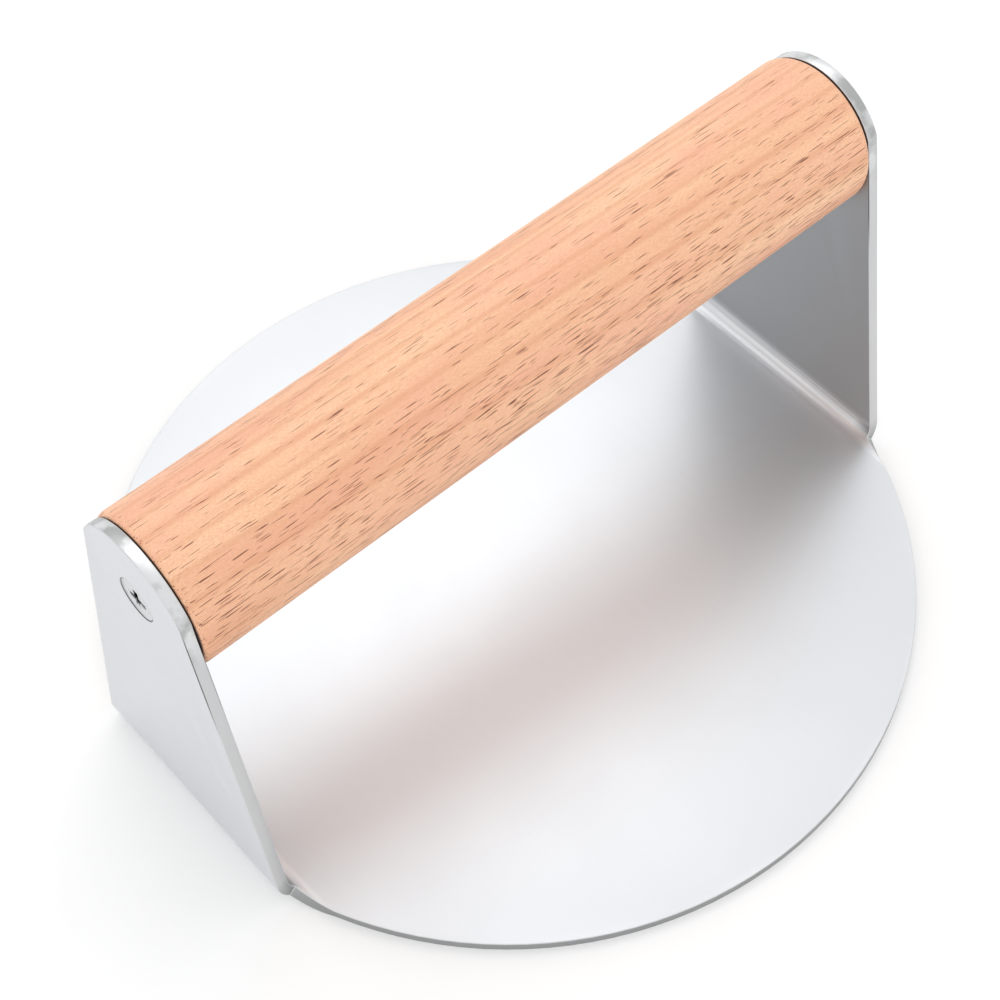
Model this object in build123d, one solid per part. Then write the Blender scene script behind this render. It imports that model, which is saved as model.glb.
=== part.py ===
from build123d import *
import os
from math import cos, pi, radians, sin, sqrt

os.makedirs("parts", exist_ok=True)

# Smash burger press: a round steel plate whose two ears, cut from the same sheet, are folded up
# and hold a turned wooden handle between them with one screw at each end.
# Millimetres. The origin is the centre of the pressing face, X runs along the handle, +Z is up.

# Steel plate
disc_diameter = 140.0
sheet_thickness = 2.0
ear_spacing = 132.4
fold_inside_radius = 3.0
neutral_layer_share = 0.42
ear_top_radius = 12.5
ear_shoulder_angle = 65.0
ear_root_width = 44.8

# Wooden handle
handle_diameter = 25.6
handle_axis_height = 64.1
handle_end_clearance = 0.0
handle_end_rounding = 1.3

# Countersunk wood screws
screw_diameter = 3.5
screw_head_diameter = 7.2
screw_length = 30.0
screw_tip_length = 5.0
screw_tip_diameter = 0.6
head_below_ear_face = 0.1
ear_hole_clearance = 0.4
pilot_hole_extra_depth = 1.0

# Cross recess in the screw heads
recess_span = 4.2
recess_arm_width = 1.1
recess_depth = 1.7
recess_floor_span = 1.6

# Places that follow from the sizes above
disc_radius = disc_diameter / 2
ear_inner_face = ear_spacing / 2
ear_outer_face = ear_inner_face + sheet_thickness
fold_start = ear_inner_face - fold_inside_radius
fold_outside_radius = fold_inside_radius + sheet_thickness
fold_top = fold_outside_radius
neutral_radius = fold_inside_radius + neutral_layer_share * sheet_thickness
fold_flat_length = neutral_radius * pi / 2
shoulder_half_width = ear_top_radius * sin(radians(ear_shoulder_angle))
shoulder_height = handle_axis_height + ear_top_radius * cos(radians(ear_shoulder_angle))
flank_slope = (ear_root_width / 2 - shoulder_half_width) / (shoulder_height - fold_top)


def flank_half_width(flat_x):
    """Half width of the ear's tapering strap in the flat blank, at a distance from the centre."""
    return ear_root_width / 2 + flank_slope * (fold_start + fold_flat_length - flat_x)


def blank_half_width(flat_x):
    """Half width of the flat blank: the disc's, or the strap's where the disc is narrower."""
    if flat_x >= disc_radius:
        return flank_half_width(flat_x)
    return max(sqrt(disc_radius**2 - flat_x**2), flank_half_width(flat_x))


def floor_of_plate():
    """The disc and the roots of both straps, as far as the two fold lines."""
    root = flank_half_width(fold_start)
    middle = flank_half_width(0)
    straps = make_face(
        Polyline(
            (-fold_start, -root),
            (0, -middle),
            (fold_start, -root),
            (fold_start, root),
            (0, middle),
            (-fold_start, root),
            close=True,
        )
    )
    between_folds = Rectangle(2 * fold_start, disc_diameter)
    return extrude((Circle(disc_radius) & between_folds) + straps, sheet_thickness)


def side_waste(side):
    """What the blank lacks beside the fold, as radial sections swept round the fold's centre."""
    fold_centre = Plane(origin=(fold_start, 0, fold_outside_radius), x_dir=(1, 0, 0), z_dir=(0, -1, 0))
    margin = sheet_thickness / 2
    steps = 12
    sections = []
    for step in range(-1, steps + 2):
        angle = pi / 2 * step / steps
        half_width = blank_half_width(fold_start + neutral_radius * angle)
        radial = Vector(sin(angle), 0, -cos(angle))
        near = fold_centre.origin + radial * (fold_inside_radius - margin)
        far = fold_centre.origin + radial * (fold_outside_radius + margin)
        inner_y = Vector(0, side * half_width, 0)
        outer_y = Vector(0, side * disc_radius, 0)
        sections.append(Wire.make_polygon([near + inner_y, far + inner_y, far + outer_y, near + outer_y]))
    return Solid.make_loft(sections, ruled=True)


def fold_of_plate():
    """The quarter bend between disc and ear, with the blank's narrowing outline at its sides."""
    profile = Plane.XZ * (
        Pos(fold_start, fold_outside_radius) * (Circle(fold_outside_radius) - Circle(fold_inside_radius))
    )
    ring = extrude(profile, disc_radius / 2, both=True)
    quarter = Pos(fold_start, 0, 0) * Box(
        2 * fold_outside_radius,
        disc_diameter,
        fold_outside_radius,
        align=(Align.MIN, Align.CENTER, Align.MIN),
    )
    return (ring & quarter) - side_waste(1) - side_waste(-1)


def ear_of_plate():
    """The upright ear: straight flanks up to two shoulders, then an arc round the handle's axis."""
    arc_top = (0, handle_axis_height + ear_top_radius)
    left_shoulder = (-shoulder_half_width, shoulder_height)
    right_shoulder = (shoulder_half_width, shoulder_height)
    left_root = (-ear_root_width / 2, fold_top)
    right_root = (ear_root_width / 2, fold_top)
    top_arc = ThreePointArc(left_shoulder, arc_top, right_shoulder)
    sides = Polyline(right_shoulder, right_root, left_root, left_shoulder)
    outline = make_face(top_arc + sides)
    return extrude(Plane.YZ.offset(ear_inner_face) * outline, sheet_thickness)


def screw_hole():
    """The hole in an ear: drilled to clear the screw, then countersunk for its head."""
    drilled_radius = (screw_diameter + ear_hole_clearance) / 2
    face_radius = screw_head_diameter / 2 + head_below_ear_face
    outward = Plane(origin=(ear_outer_face, 0, handle_axis_height), x_dir=(0, 1, 0), z_dir=(-1, 0, 0))
    drilled = extrude(outward * Circle(drilled_radius), sheet_thickness)
    countersink_depth = face_radius - drilled_radius
    countersink = Solid.make_cone(face_radius, drilled_radius, countersink_depth, plane=outward)
    return drilled + countersink


def press_plate():
    """Disc, folds and ears: one sheet of steel."""
    half = fold_of_plate() + ear_of_plate() - screw_hole()
    plate = floor_of_plate() + half + half.mirror(Plane.YZ)
    return plate


def handle_screw():
    """The screw of the +X ear, its thread drawn as a plain core of the thread's outside diameter."""
    head_radius = screw_head_diameter / 2
    shank_radius = screw_diameter / 2
    head_height = head_radius - shank_radius
    straight_length = screw_length - screw_tip_length
    profile = Polyline(
        (0, 0),
        (head_radius, 0),
        (shank_radius, head_height),
        (shank_radius, straight_length),
        (screw_tip_diameter / 2, screw_length),
        (0, screw_length),
        (0, 0),
    )
    body = revolve(Plane.XZ * make_face(profile), Axis.Z)
    arm = Box(recess_span, recess_arm_width, recess_depth, align=(Align.CENTER, Align.CENTER, Align.MIN))
    cross = arm + Rot(0, 0, 90) * arm
    driver_point = Solid.make_cone(recess_span / 2, recess_floor_span / 2, recess_depth)
    screw = body - (cross & driver_point)
    head_top = ear_outer_face - head_below_ear_face
    return Plane(origin=(head_top, 0, handle_axis_height), x_dir=(0, 1, 0), z_dir=(-1, 0, 0)) * screw


def wooden_handle():
    """A turned rod with softened ends and a pilot hole in each end for its screw."""
    length = ear_spacing - 2 * handle_end_clearance
    rod = Cylinder(handle_diameter / 2, length)
    rod = fillet(rod.edges().filter_by(GeomType.CIRCLE), handle_end_rounding)
    tip_place = ear_outer_face - head_below_ear_face - screw_length
    hole_start = tip_place - pilot_hole_extra_depth
    hole_length = length / 2 - hole_start
    hole = Cylinder(screw_diameter / 2, hole_length, align=(Align.CENTER, Align.CENTER, Align.MIN))
    hole = Pos(0, 0, hole_start) * hole
    rod = rod - hole - hole.mirror(Plane.XY)
    return Pos(0, 0, handle_axis_height) * Rot(0, 90, 0) * rod


plate = press_plate()
right_screw = handle_screw()
pieces = {
    "press_plate": plate,
    "wooden_handle": wooden_handle(),
    "handle_screw_right": right_screw,
    "handle_screw_left": right_screw.mirror(Plane.YZ),
}
for name, piece in pieces.items():
    export_step(piece, f"parts/{name}.step")
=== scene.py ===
from math import radians

import bmesh
import bpy
from mathutils import Matrix, Vector


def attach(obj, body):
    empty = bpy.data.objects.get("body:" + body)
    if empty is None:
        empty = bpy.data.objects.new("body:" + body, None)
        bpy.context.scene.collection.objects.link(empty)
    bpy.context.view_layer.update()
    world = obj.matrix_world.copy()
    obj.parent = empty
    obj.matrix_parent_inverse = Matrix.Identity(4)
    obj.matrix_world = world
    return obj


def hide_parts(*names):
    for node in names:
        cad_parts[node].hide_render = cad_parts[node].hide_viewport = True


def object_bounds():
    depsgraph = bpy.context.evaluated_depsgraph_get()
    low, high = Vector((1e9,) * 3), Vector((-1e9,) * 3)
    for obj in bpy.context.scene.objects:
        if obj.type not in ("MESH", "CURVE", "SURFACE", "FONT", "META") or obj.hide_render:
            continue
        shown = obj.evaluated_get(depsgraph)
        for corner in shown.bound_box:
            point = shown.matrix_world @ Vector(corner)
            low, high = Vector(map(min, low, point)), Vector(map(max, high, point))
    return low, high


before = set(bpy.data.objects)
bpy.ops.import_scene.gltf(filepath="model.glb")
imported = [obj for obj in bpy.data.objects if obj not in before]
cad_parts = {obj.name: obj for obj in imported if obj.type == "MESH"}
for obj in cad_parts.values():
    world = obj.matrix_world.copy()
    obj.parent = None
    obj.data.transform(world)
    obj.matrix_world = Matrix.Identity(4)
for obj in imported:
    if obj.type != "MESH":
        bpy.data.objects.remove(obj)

cad_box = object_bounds()

# Camera. It stands high on the side of the left ear and looks down along the handle, on a long
# lens. The place, aim and lens were worked out from the disc's rim, the ears and the handle.
camera_place = Vector((-0.13338, -0.15689, 0.32254))
camera_aim = Vector((-0.00004, 0.00285, 0.020))
camera_roll = radians(-1.695)
lens_mm = 79.0
sensor_mm = 36.0
frame_shift = 0.003

camera_data = bpy.data.cameras.new("camera")
camera_data.lens = lens_mm
camera_data.sensor_width = sensor_mm
camera_data.shift_x = frame_shift
camera_data.shift_y = -frame_shift
camera_data.clip_start = 0.01
camera = bpy.data.objects.new("camera", camera_data)
bpy.context.scene.collection.objects.link(camera)
level_view = (camera_aim - camera_place).to_track_quat("-Z", "Y").to_matrix().to_4x4()
camera.matrix_world = Matrix.Translation(camera_place) @ level_view @ Matrix.Rotation(camera_roll, 4, "Z")
bpy.context.scene.camera = camera
bpy.context.scene.view_settings.view_transform = "Standard"


# Studio. A pale matt floor that keeps the soft shadow of the press, a white surround, and large
# soft lamps: one overhead behind the press, one lower on its left.
def linear(hex_colour):
    """An sRGB hex colour as linear red, green and blue by the standard's curve, and full alpha."""
    channels = [int(hex_colour[i:i + 2], 16) / 255 for i in (1, 3, 5)]
    return [c / 12.92 if c <= 0.04045 else ((c + 0.055) / 1.055) ** 2.4 for c in channels] + [1.0]


def add(tree, kind, links=(), **settings):
    """Adds a node, sets its sockets and properties by name, and links its inputs."""
    node = tree.nodes.new(kind)
    for name, value in settings.items():
        if hasattr(node, name):
            setattr(node, name, value)
        else:
            node.inputs[name.replace("_", " ")].default_value = value
    for target, source in dict(links).items():
        tree.links.new(source, node.inputs[target])
    return node


def new_finish(name):
    """A material with an empty node tree, and that tree."""
    finish = bpy.data.materials.new(name)
    finish.use_nodes = True
    finish.node_tree.nodes.clear()
    return finish, finish.node_tree


# The surround is even and white, but for a dimmer part high up behind the left ear. The dimming
# starts about 30 degrees from its middle, and is given as the cosine of that angle.
surround_strength = 1.0
dim_strength = 0.4
dim_direction = (-0.42, 0.38, 0.82)
dimming_starts = 0.86
dimming_full = 1.0
world = bpy.data.worlds.new("white_studio")
bpy.context.scene.world = world
world.use_nodes = True
tree = world.node_tree
tree.nodes.clear()
heading = add(tree, "ShaderNodeTexCoord")
nearness = add(tree, "ShaderNodeVectorMath", {0: heading.outputs["Generated"]}, operation="DOT_PRODUCT")
nearness.inputs[1].default_value = dim_direction
level = add(
    tree,
    "ShaderNodeMapRange",
    {"Value": nearness.outputs["Value"]},
    interpolation_type="SMOOTHSTEP",
    From_Min=dimming_starts,
    From_Max=dimming_full,
    To_Min=surround_strength,
    To_Max=dim_strength,
)
surround = add(tree, "ShaderNodeBackground", {"Strength": level.outputs[0]}, Color=linear("#FFFFFF"))
add(tree, "ShaderNodeOutputWorld", {"Surface": surround.outputs[0]})


def softbox(name, place, size, watts):
    """A rectangular lamp at a place, facing the centre of the press's underside."""
    lamp = bpy.data.lights.new(name, "AREA")
    lamp.shape = "RECTANGLE"
    lamp.size, lamp.size_y = size
    lamp.energy = watts
    holder = bpy.data.objects.new(name, lamp)
    facing = (-Vector(place)).to_track_quat("-Z", "Y").to_matrix().to_4x4()
    holder.matrix_world = Matrix.Translation(place) @ facing
    bpy.context.scene.collection.objects.link(holder)


softbox("overhead_softbox", place=(0.19, 0.40, 0.98), size=(1.0, 0.85), watts=2.55)
softbox("left_softbox", place=(-0.8, -0.1, 0.55), size=(0.6, 0.6), watts=0.3)

# The floor lies a hair below the pressing face, so that the two don't flicker through each other.
floor_half_width = 3.0
floor_height = -0.00005
floor_mesh = bpy.data.meshes.new("floor")
corners = [(-1, -1), (1, -1), (1, 1), (-1, 1)]
floor_corners = [(floor_half_width * x, floor_half_width * y, floor_height) for x, y in corners]
floor_mesh.from_pydata(floor_corners, [], [(0, 1, 2, 3)])
floor = bpy.data.objects.new("floor", floor_mesh)
bpy.context.scene.collection.objects.link(floor)

# White matt paint, with specks about 2.5 mm across that are too faint to see as a pattern. Part of
# the white is the floor's own, for the camera and for reflections, so the shadow is light.
paint_white = linear("#FFFFFF")
paint_speck = linear("#FCFCFC")
specks_per_metre = 400.0
own_white_share = 0.2
floor_paint, tree = new_finish("white_matt_paint")
specks = add(tree, "ShaderNodeTexNoise", Scale=specks_per_metre, Detail=2.0)
tone = add(
    tree,
    "ShaderNodeMix",
    {"Factor": specks.outputs[0]},
    data_type="RGBA",
    A=paint_white,
    B=paint_speck,
)
paint = add(tree, "ShaderNodeBsdfDiffuse", {"Color": tone.outputs["Result"]})
path = add(tree, "ShaderNodeLightPath")
seen = add(
    tree,
    "ShaderNodeMath",
    {0: path.outputs["Is Camera Ray"], 1: path.outputs["Is Glossy Ray"]},
    operation="MAXIMUM",
)
seen = add(
    tree,
    "ShaderNodeMath",
    {0: seen.outputs[0], 1: path.outputs["Is Transmission Ray"]},
    operation="MAXIMUM",
)
share = add(tree, "ShaderNodeMapRange", {"Value": seen.outputs[0]}, To_Max=own_white_share)
white = add(tree, "ShaderNodeEmission", {"Color": tone.outputs["Result"]}, Strength=1.0)
ground = add(tree, "ShaderNodeMixShader", {0: share.outputs[0], 1: paint.outputs[0], 2: white.outputs[0]})
add(tree, "ShaderNodeOutputMaterial", {"Surface": ground.outputs[0]})
floor_mesh.materials.append(floor_paint)


# Press plate. One stainless sheet: a disc with two ears folded up from the same blank. It is
# blanked, bent, deburred so that its edges are slightly round, and belt-finished to a fine satin.
edge_rounding = 0.00015
sharp_from = radians(30)
flat_within = radians(0.2)
weld_distance = 1e-7
sheet_thickness = 0.002
ear_outer_face = cad_box[1][0]
ear_inner_face = ear_outer_face - sheet_thickness
bend_top = 0.006
arc_bottom = 0.070
ear_middle = arc_bottom / 2


def rounded_copy(node, name, rounding):
    """A copy of a CAD piece with its flat faces whole and its sharp edges rounded."""
    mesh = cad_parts[node].data.copy()
    mesh.name = name
    mesh.materials.clear()
    grid = bmesh.new()
    grid.from_mesh(mesh)
    bmesh.ops.remove_doubles(grid, verts=grid.verts, dist=weld_distance)
    bmesh.ops.dissolve_limit(grid, angle_limit=flat_within, verts=grid.verts, edges=grid.edges)
    grid.to_mesh(mesh)
    grid.free()
    mesh.shade_smooth()
    piece = bpy.data.objects.new(name, mesh)
    bpy.context.scene.collection.objects.link(piece)
    bevel = piece.modifiers.new("rounded_edges", "BEVEL")
    bevel.width = rounding
    bevel.segments = 3
    bevel.limit_method = "ANGLE"
    bevel.angle_limit = sharp_from
    bevel.harden_normals = True
    return piece


plate = rounded_copy("press_plate", "satin_press_plate", edge_rounding)

# Satin stainless steel: rough enough to turn the handle's reflection into a soft grey band, with
# a grain too fine to see as lines and a slow cloudiness left by the belt.
satin_shade = linear("#D8DADD")
satin_light = linear("#DCDEE1")
# Painted shade for the ears' inner faces.
inner_face_painted_shade = linear("#B5B7B9")
# Grain lines 0.15 mm apart and about 12 mm long, running across the handle.
grain_per_metre = (6500, 80, 6500)
# Clouds about 20 mm across.
clouds_per_metre = 50.0
satin_steel, tree = new_finish("satin_stainless_steel")
place = add(tree, "ShaderNodeTexCoord")
stretched = add(tree, "ShaderNodeMapping", {"Vector": place.outputs["Object"]}, Scale=grain_per_metre)
grain = add(tree, "ShaderNodeTexNoise", {"Vector": stretched.outputs[0]}, Scale=1.0, Detail=3.0)
cloud = add(
    tree,
    "ShaderNodeTexNoise",
    {"Vector": place.outputs["Object"]},
    Scale=clouds_per_metre,
    Detail=4.0,
)
rough = add(tree, "ShaderNodeMapRange", {"Value": cloud.outputs[0]}, To_Min=0.40, To_Max=0.49)
tone = add(
    tree,
    "ShaderNodeMix",
    {"Factor": grain.outputs[0]},
    data_type="RGBA",
    A=satin_shade,
    B=satin_light,
)
# The ears' inner faces are darker, as painted shade for the dimmer light between the ears. The
# darkening starts at about the top of the bend. Depths go into the sheet from its inner face.
inner_shade_from_height = 0.0045
inner_shade_full_height = 0.0065
inner_shade_face_depth = 0.0002
inner_shade_fade_depth = 0.0006
where = add(tree, "ShaderNodeSeparateXYZ", {"Vector": place.outputs["Object"]})
along = add(tree, "ShaderNodeMath", {0: where.outputs["X"]}, operation="ABSOLUTE")
inside = add(
    tree,
    "ShaderNodeMapRange",
    {"Value": along.outputs[0]},
    From_Min=ear_inner_face + inner_shade_fade_depth,
    From_Max=ear_inner_face + inner_shade_face_depth,
)
upright = add(
    tree,
    "ShaderNodeMapRange",
    {"Value": where.outputs["Z"]},
    From_Min=inner_shade_from_height,
    From_Max=inner_shade_full_height,
)
inner_shade = add(tree, "ShaderNodeMath", {0: inside.outputs[0], 1: upright.outputs[0]}, operation="MULTIPLY")
tone = add(
    tree,
    "ShaderNodeMix",
    {"Factor": inner_shade.outputs[0], "A": tone.outputs["Result"]},
    data_type="RGBA",
    B=inner_face_painted_shade,
)
bump = add(tree, "ShaderNodeBump", {"Height": grain.outputs[0]}, Strength=0.03, Distance=0.0001)
steel = add(
    tree,
    "ShaderNodeBsdfPrincipled",
    {"Base Color": tone.outputs["Result"], "Roughness": rough.outputs[0], "Normal": bump.outputs[0]},
    Metallic=1.0,
)
add(tree, "ShaderNodeOutputMaterial", {"Surface": steel.outputs[0]})

# The blanked edge of the same sheet: round the top of each ear it is lighter, partly from more
# polish and partly as a painted highlight where it faces the lamp. It is cloudy there with painted
# reflections in patches about 6 mm long. It is plainer down the flanks and darkest round the disc,
# where the darkness is painted shade.
arc_polish_and_highlight = linear("#DCDDDE")
arc_reflected_patch = linear("#B0B1B1")
flank_tone = linear("#CBCCCD")
rim_painted_shade = linear("#A0A1A2")
patches_per_metre = 170.0
patches_from_height = 0.060
patches_full_height = 0.067
blanked_edge, tree = new_finish("blanked_stainless_edge")
place = add(tree, "ShaderNodeTexCoord")
patches = add(
    tree,
    "ShaderNodeTexNoise",
    {"Vector": place.outputs["Object"]},
    Scale=patches_per_metre,
    Detail=4.0,
)
reflection_mask = add(tree, "ShaderNodeMapRange", {"Value": patches.outputs[0]}, From_Min=0.46, From_Max=0.60)
where = add(tree, "ShaderNodeSeparateXYZ", {"Vector": place.outputs["Object"]})
tone = add(
    tree,
    "ShaderNodeMix",
    {"Factor": reflection_mask.outputs[0]},
    data_type="RGBA",
    A=arc_polish_and_highlight,
    B=arc_reflected_patch,
)
near_arc = add(
    tree,
    "ShaderNodeMapRange",
    {"Value": where.outputs["Z"]},
    From_Min=patches_from_height,
    From_Max=patches_full_height,
)
tone = add(
    tree,
    "ShaderNodeMix",
    {"Factor": near_arc.outputs[0], "B": tone.outputs["Result"]},
    data_type="RGBA",
    A=flank_tone,
)
# Painted shade: the edge is darkest round the disc, for the shadowed floor close by that it reflects.
above_rim_shade = add(
    tree,
    "ShaderNodeMapRange",
    {"Value": where.outputs["Z"]},
    From_Min=sheet_thickness,
    From_Max=bend_top,
)
tone = add(
    tree,
    "ShaderNodeMix",
    {"Factor": above_rim_shade.outputs[0], "B": tone.outputs["Result"]},
    data_type="RGBA",
    A=rim_painted_shade,
)
rough = add(tree, "ShaderNodeMapRange", {"Value": patches.outputs[0]}, To_Min=0.30, To_Max=0.50)
bump = add(tree, "ShaderNodeBump", {"Height": patches.outputs[0]}, Strength=0.1, Distance=0.0002)
steel = add(
    tree,
    "ShaderNodeBsdfPrincipled",
    {"Base Color": tone.outputs["Result"], "Roughness": rough.outputs[0], "Normal": bump.outputs[0]},
    Metallic=1.0,
)
add(tree, "ShaderNodeOutputMaterial", {"Surface": steel.outputs[0]})

# The countersink round each screw head, which shows as a thin line of painted shade and dull oxide,
# with oxide spots about 1.4 mm across.
shade_and_oxide_dark = linear("#2C2B2A")
shade_and_oxide_light = linear("#5A5A59")
oxide_per_metre = 700.0
shade_and_oxide_countersink, tree = new_finish("shade_and_oxide_countersunk_steel")
place = add(tree, "ShaderNodeTexCoord")
oxide = add(
    tree,
    "ShaderNodeTexNoise",
    {"Vector": place.outputs["Object"]},
    Scale=oxide_per_metre,
    Detail=3.0,
)
tone = add(
    tree,
    "ShaderNodeMix",
    {"Factor": oxide.outputs[0]},
    data_type="RGBA",
    A=shade_and_oxide_dark,
    B=shade_and_oxide_light,
)
steel = add(
    tree,
    "ShaderNodeBsdfPrincipled",
    {"Base Color": tone.outputs["Result"]},
    Metallic=1.0,
    Roughness=0.6,
)
add(tree, "ShaderNodeOutputMaterial", {"Surface": steel.outputs[0]})

# The inside of each bend: brighter, as a painted highlight, with drawn lines 0.4 mm apart along the
# bend that fade into the satin beside the disc.
bend_highlight_dim = linear("#DCDDDF")
bend_highlight_bright = linear("#F2F3F4")
beside_disc = linear("#D9DBDE")
lines_per_metre = (2500, 35, 2500)
satin_until_height = 0.0021
bend_highlight_from_height = 0.0036
highlit_bend, tree = new_finish("bend_painted_highlight_steel")
place = add(tree, "ShaderNodeTexCoord")
line_place = add(tree, "ShaderNodeMapping", {"Vector": place.outputs["Object"]}, Scale=lines_per_metre)
lines = add(tree, "ShaderNodeTexNoise", {"Vector": line_place.outputs[0]}, Scale=1.0, Detail=3.0)
line = add(tree, "ShaderNodeMapRange", {"Value": lines.outputs[0]}, From_Min=0.35, From_Max=0.65)
tone = add(
    tree,
    "ShaderNodeMix",
    {"Factor": line.outputs[0]},
    data_type="RGBA",
    A=bend_highlight_dim,
    B=bend_highlight_bright,
)
where = add(tree, "ShaderNodeSeparateXYZ", {"Vector": place.outputs["Object"]})
off_disc = add(
    tree,
    "ShaderNodeMapRange",
    {"Value": where.outputs["Z"]},
    From_Min=satin_until_height,
    From_Max=bend_highlight_from_height,
)
tone = add(
    tree,
    "ShaderNodeMix",
    {"Factor": off_disc.outputs[0], "B": tone.outputs["Result"]},
    data_type="RGBA",
    A=beside_disc,
)
# A faint dark patch near both ends of the bend, above the disc, is painted shade.
bend_end_shade_tone = linear("#5C5C5C")
bend_end_shade_strength = 0.65
bend_end_shade_starts = 0.0190
bend_end_shade_full_from = 0.0224
bend_end_shade_full_until = 0.0228
bend_end_shade_ends = 0.0242
across = add(tree, "ShaderNodeMath", {0: where.outputs["Y"]}, operation="ABSOLUTE")
at_end = add(
    tree,
    "ShaderNodeMapRange",
    {"Value": across.outputs[0]},
    From_Min=bend_end_shade_starts,
    From_Max=bend_end_shade_full_from,
    To_Max=bend_end_shade_strength,
)
before_corner = add(
    tree,
    "ShaderNodeMapRange",
    {"Value": across.outputs[0]},
    From_Min=bend_end_shade_ends,
    From_Max=bend_end_shade_full_until,
)
bend_end_shade = add(tree, "ShaderNodeMath", {0: at_end.outputs[0], 1: before_corner.outputs[0]}, operation="MULTIPLY")
bend_end_shade = add(tree, "ShaderNodeMath", {0: bend_end_shade.outputs[0], 1: off_disc.outputs[0]}, operation="MULTIPLY")
tone = add(
    tree,
    "ShaderNodeMix",
    {"Factor": bend_end_shade.outputs[0], "A": tone.outputs["Result"]},
    data_type="RGBA",
    B=bend_end_shade_tone,
)
steel = add(
    tree,
    "ShaderNodeBsdfPrincipled",
    {"Base Color": tone.outputs["Result"]},
    Metallic=1.0,
    Roughness=0.42,
)
add(tree, "ShaderNodeOutputMaterial", {"Surface": steel.outputs[0]})

# The rounded corners between the sheet's faces and its edge: bright, with dark oxide in stretches
# of about 15 mm on each flank, just below the ear's arc.
corner_light = linear("#D4D5D6")
corner_oxide = linear("#6E6F70")
stretches_per_metre = 65.0
oxide_from_height = 0.045
oxide_full_height = 0.054
oxide_fades_height = 0.066
oxide_ends_height = 0.071
worn_corner, tree = new_finish("worn_steel_corner")
place = add(tree, "ShaderNodeTexCoord")
stretches = add(
    tree,
    "ShaderNodeTexNoise",
    {"Vector": place.outputs["Object"]},
    Scale=stretches_per_metre,
    Detail=3.0,
)
stretch = add(tree, "ShaderNodeMapRange", {"Value": stretches.outputs[0]}, From_Min=0.30, From_Max=0.55)
where = add(tree, "ShaderNodeSeparateXYZ", {"Vector": place.outputs["Object"]})
high = add(
    tree,
    "ShaderNodeMapRange",
    {"Value": where.outputs["Z"]},
    From_Min=oxide_from_height,
    From_Max=oxide_full_height,
)
below_arc = add(
    tree,
    "ShaderNodeMapRange",
    {"Value": where.outputs["Z"]},
    From_Min=oxide_ends_height,
    From_Max=oxide_fades_height,
)
stretch = add(tree, "ShaderNodeMath", {0: stretch.outputs[0], 1: high.outputs[0]}, operation="MULTIPLY")
stretch = add(tree, "ShaderNodeMath", {0: stretch.outputs[0], 1: below_arc.outputs[0]}, operation="MULTIPLY")
tone = add(
    tree,
    "ShaderNodeMix",
    {"Factor": stretch.outputs[0]},
    data_type="RGBA",
    A=corner_light,
    B=corner_oxide,
)
steel = add(
    tree,
    "ShaderNodeBsdfPrincipled",
    {"Base Color": tone.outputs["Result"]},
    Metallic=1.0,
    Roughness=0.4,
)
add(tree, "ShaderNodeOutputMaterial", {"Surface": steel.outputs[0]})

# Each face of the sheet gets its finish by where it lies and which way it faces. The limits are
# parts of its normal: along the handle, sideways or up.
finishes = [satin_steel, blanked_edge, shade_and_oxide_countersink, highlit_bend, worn_corner]
for finish in finishes:
    plate.data.materials.append(finish)
plate.modifiers["rounded_edges"].material = finishes.index(worn_corner)
cone_faces_along = 0.6
ear_faces_along = 0.9
edge_faces_sideways = 0.25
arc_faces_up = 0.3
bend_faces_up = 0.02
disc_faces_up = 0.999
for face in plate.data.polygons:
    height = face.center.z
    on_ear_or_cone = abs(face.normal.x) > cone_faces_along and height > ear_middle
    on_side_edge = abs(face.normal.y) > edge_faces_sideways and not on_ear_or_cone
    on_arc = face.normal.z > arc_faces_up and height > arc_bottom
    if on_side_edge or on_arc:
        face.material_index = finishes.index(blanked_edge)
    if on_ear_or_cone and abs(face.normal.x) < ear_faces_along:
        face.material_index = finishes.index(shade_and_oxide_countersink)
    faces_inward = face.normal.x * face.center.x < 0
    in_bend = bend_faces_up < face.normal.z < disc_faces_up and height < bend_top
    if faces_inward and in_bend:
        face.material_index = finishes.index(highlit_bend)
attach(plate, "root")
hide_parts("press_plate")


# Wooden handle. A rod of beech, turned, sanded and oiled, clamped between the ears by a screw in
# each end.
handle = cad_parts["wooden_handle"]

# Oiled beech: a pale pinkish brown with a dull sheen. Its rays show as fine dark flecks, close
# together on the front and back and few on the top. The grain runs a little off the axis.
wood_shade = linear("#EDB491")
wood_light = linear("#FDD0A8")
wood_red = linear("#F2B398")
ring_tone = linear("#D99A72")
fibre_tone = linear("#DE9875")
ray_tone = linear("#7A4029")
end_grain_and_groove_shade = linear("#2A170E")
off_axis = (0, radians(1.1), radians(1.2))
beech, tree = new_finish("oiled_beech")
place = add(tree, "ShaderNodeTexCoord")
grain_line = add(tree, "ShaderNodeMapping", {"Vector": place.outputs["Object"]}, Rotation=off_axis)
# Soft light and dark bands about 4 to 6 mm apart, drawn out along the grain.
bands_per_metre = (14, 260, 180)
band_place = add(tree, "ShaderNodeMapping", {"Vector": grain_line.outputs[0]}, Scale=bands_per_metre)
bands = add(
    tree,
    "ShaderNodeTexNoise",
    {"Vector": band_place.outputs[0]},
    Scale=1.0,
    Detail=3.0,
    Distortion=0.6,
)
wood_tone = add(tree, "ShaderNodeValToRGB", {"Fac": bands.outputs[0]})
ramp = wood_tone.color_ramp
ramp.elements[0].position = 0.30
ramp.elements[0].color = wood_shade
ramp.elements[1].position = 0.68
ramp.elements[1].color = wood_light
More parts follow.
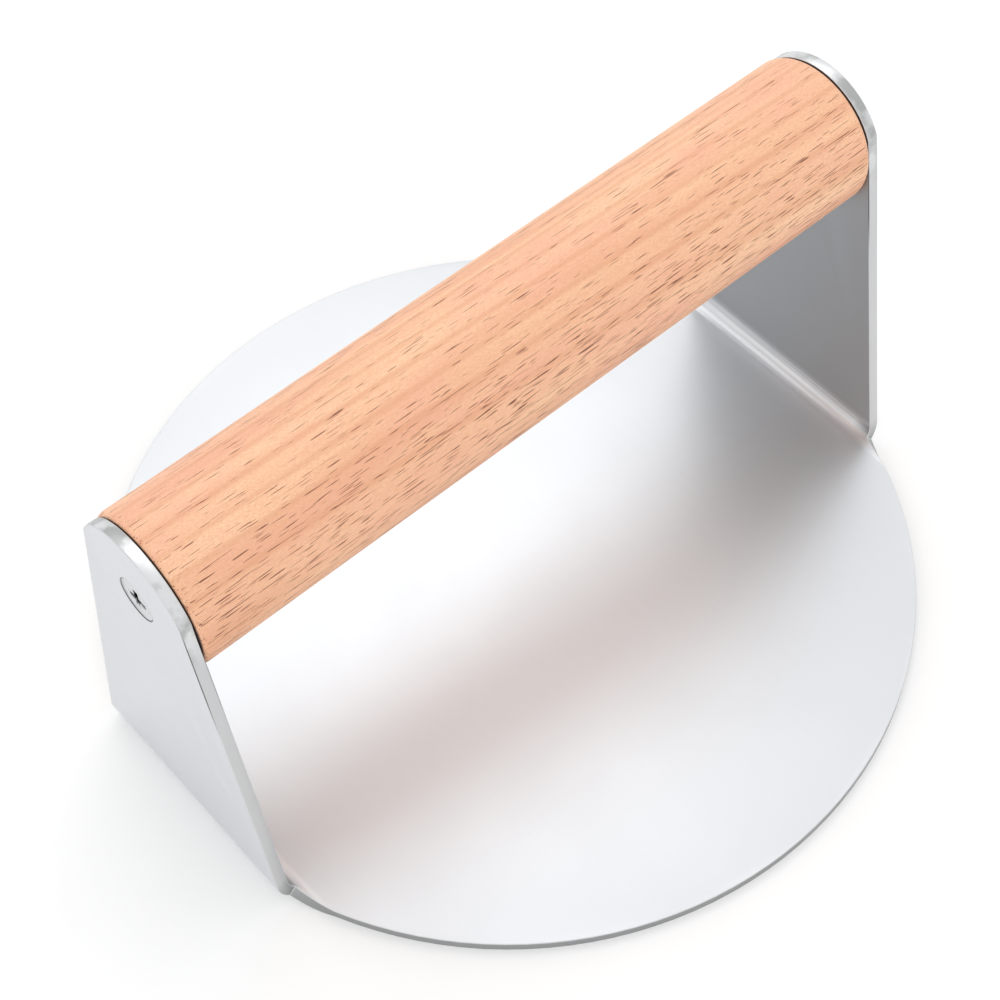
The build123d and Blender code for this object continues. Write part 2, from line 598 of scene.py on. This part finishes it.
# Redder zones about 22 mm long and 9 mm wide.
zones_per_metre = (45, 110, 110)
zone_place = add(tree, "ShaderNodeMapping", {"Vector": grain_line.outputs[0]}, Scale=zones_per_metre)
zones = add(tree, "ShaderNodeTexNoise", {"Vector": zone_place.outputs[0]}, Scale=1.0, Detail=3.0)
zone = add(tree, "ShaderNodeMapRange", {"Value": zones.outputs[0]}, From_Min=0.48, From_Max=0.68, To_Max=0.5)
wood_tone = add(
    tree,
    "ShaderNodeMix",
    {"Factor": zone.outputs[0], "A": wood_tone.outputs[0]},
    data_type="RGBA",
    B=wood_red,
)
# Growth rings about 3 mm apart, as thin wavy lines on the top and broad figure on the sides. The
# coordinates are millimetres across the grain, and along it they are drawn out about 17 times.
ring_units_per_metre = (60, 1000, 1000)
ring_place = add(tree, "ShaderNodeMapping", {"Vector": grain_line.outputs[0]}, Scale=ring_units_per_metre)
rings = add(
    tree,
    "ShaderNodeTexWave",
    {"Vector": ring_place.outputs[0]},
    wave_type="BANDS",
    bands_direction="Y",
    Scale=0.1,
    Distortion=7.0,
    Detail=2.0,
    Detail_Scale=0.3,
)
ring = add(
    tree,
    "ShaderNodeMapRange",
    {"Value": rings.outputs["Fac"]},
    From_Min=0.72,
    From_Max=1.0,
    To_Max=0.38,
)
wood_tone = add(
    tree,
    "ShaderNodeMix",
    {"Factor": ring.outputs[0], "A": wood_tone.outputs["Result"]},
    data_type="RGBA",
    B=ring_tone,
)
# Fibres 0.13 mm wide, drawn coarser than real ones so that they show.
fibres_per_metre = (2000, 7500, 7500)
fibre_place = add(tree, "ShaderNodeMapping", {"Vector": grain_line.outputs[0]}, Scale=fibres_per_metre)
fibres = add(tree, "ShaderNodeTexNoise", {"Vector": fibre_place.outputs[0]}, Scale=1.0, Detail=2.0)
fibre = add(
    tree,
    "ShaderNodeMapRange",
    {"Value": fibres.outputs[0]},
    From_Min=0.36,
    From_Max=0.66,
    To_Max=0.45,
)
wood_tone = add(
    tree,
    "ShaderNodeMix",
    {"Factor": fibre.outputs[0], "A": wood_tone.outputs["Result"]},
    data_type="RGBA",
    B=fibre_tone,
)
# Rays: flecks about 5 mm long and 0.15 mm high, which thin out towards the top of the handle.
rays_per_metre = (210, 6800, 6800)
rays_thin_height = 0.0705
rays_fewest_height = 0.0760
where = add(tree, "ShaderNodeSeparateXYZ", {"Vector": place.outputs["Object"]})
on_top = add(
    tree,
    "ShaderNodeMapRange",
    {"Value": where.outputs["Z"]},
    From_Min=rays_thin_height,
    From_Max=rays_fewest_height,
    To_Max=0.07,
)
ray_place = add(tree, "ShaderNodeMapping", {"Vector": grain_line.outputs[0]}, Scale=rays_per_metre)
rays = add(tree, "ShaderNodeTexNoise", {"Vector": ray_place.outputs[0]}, Scale=1.0, Detail=0.0)
rays = add(tree, "ShaderNodeMath", {0: rays.outputs[0], 1: on_top.outputs[0]}, operation="SUBTRACT")
ray = add(tree, "ShaderNodeMapRange", {"Value": rays.outputs[0]}, From_Min=0.655, From_Max=0.71, To_Max=0.95)
wood_tone = add(
    tree,
    "ShaderNodeMix",
    {"Factor": ray.outputs[0], "A": wood_tone.outputs["Result"]},
    data_type="RGBA",
    B=ray_tone,
)
# The end grain beside each ear is nearly black: it has soaked up oil, and its darkness in the
# groove beside the ear is painted shade. Distances are from the ear's inner face.
end_grain_shade_starts = 0.0004
end_grain_shade_full = 0.0002
along = add(tree, "ShaderNodeMath", {0: where.outputs["X"]}, operation="ABSOLUTE")
oiled_end_and_groove_shade = add(
    tree,
    "ShaderNodeMapRange",
    {"Value": along.outputs[0]},
    From_Min=ear_inner_face - end_grain_shade_starts,
    From_Max=ear_inner_face - end_grain_shade_full,
)
wood_tone = add(
    tree,
    "ShaderNodeMix",
    {"Factor": oiled_end_and_groove_shade.outputs[0], "A": wood_tone.outputs["Result"]},
    data_type="RGBA",
    B=end_grain_and_groove_shade,
)
rough = add(tree, "ShaderNodeMapRange", {"Value": fibres.outputs[0]}, To_Min=0.45, To_Max=0.62)
bump = add(tree, "ShaderNodeBump", {"Height": fibres.outputs[0]}, Strength=0.12, Distance=0.0002)
wood = add(
    tree,
    "ShaderNodeBsdfPrincipled",
    {"Base Color": wood_tone.outputs["Result"], "Roughness": rough.outputs[0], "Normal": bump.outputs[0]},
)
add(tree, "ShaderNodeOutputMaterial", {"Surface": wood.outputs[0]})
handle.data.materials.clear()
handle.data.materials.append(beech)


# Screws. Countersunk steel wood screws with a cross recess, one through each ear into the wood.
# Their heads lie just under the ears' outer faces.
screw_edge_rounding = 0.00008
head_below_ear_face = 0.0001
head_top = ear_outer_face - head_below_ear_face

# Plain bright steel, with wear about 1 mm across, and shade and dull oxide down in the recess.
recess_dark = linear("#2E2C2A")
bright_steel = linear("#D2D3D5")
wear_per_metre = 900.0
shade_starts_depth = 0.00012
shade_full_depth = 0.0004
screw_steel, tree = new_finish("plain_steel_screw")
place = add(tree, "ShaderNodeTexCoord")
wear = add(tree, "ShaderNodeTexNoise", {"Vector": place.outputs["Object"]}, Scale=wear_per_metre, Detail=3.0)
rough = add(tree, "ShaderNodeMapRange", {"Value": wear.outputs[0]}, To_Min=0.28, To_Max=0.45)
where = add(tree, "ShaderNodeSeparateXYZ", {"Vector": place.outputs["Object"]})
along = add(tree, "ShaderNodeMath", {0: where.outputs["X"]}, operation="ABSOLUTE")
depth = add(
    tree,
    "ShaderNodeMapRange",
    {"Value": along.outputs[0]},
    From_Min=head_top - shade_full_depth,
    From_Max=head_top - shade_starts_depth,
)
tone = add(
    tree,
    "ShaderNodeMix",
    {"Factor": depth.outputs[0]},
    data_type="RGBA",
    A=recess_dark,
    B=bright_steel,
)
steel = add(
    tree,
    "ShaderNodeBsdfPrincipled",
    {"Base Color": tone.outputs["Result"], "Roughness": rough.outputs[0]},
    Metallic=1.0,
)
add(tree, "ShaderNodeOutputMaterial", {"Surface": steel.outputs[0]})
for side in ("left", "right"):
    screw = rounded_copy(f"handle_screw_{side}", f"bright_screw_{side}", screw_edge_rounding)
    screw.data.materials.append(screw_steel)
    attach(screw, "root")
    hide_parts(f"handle_screw_{side}")
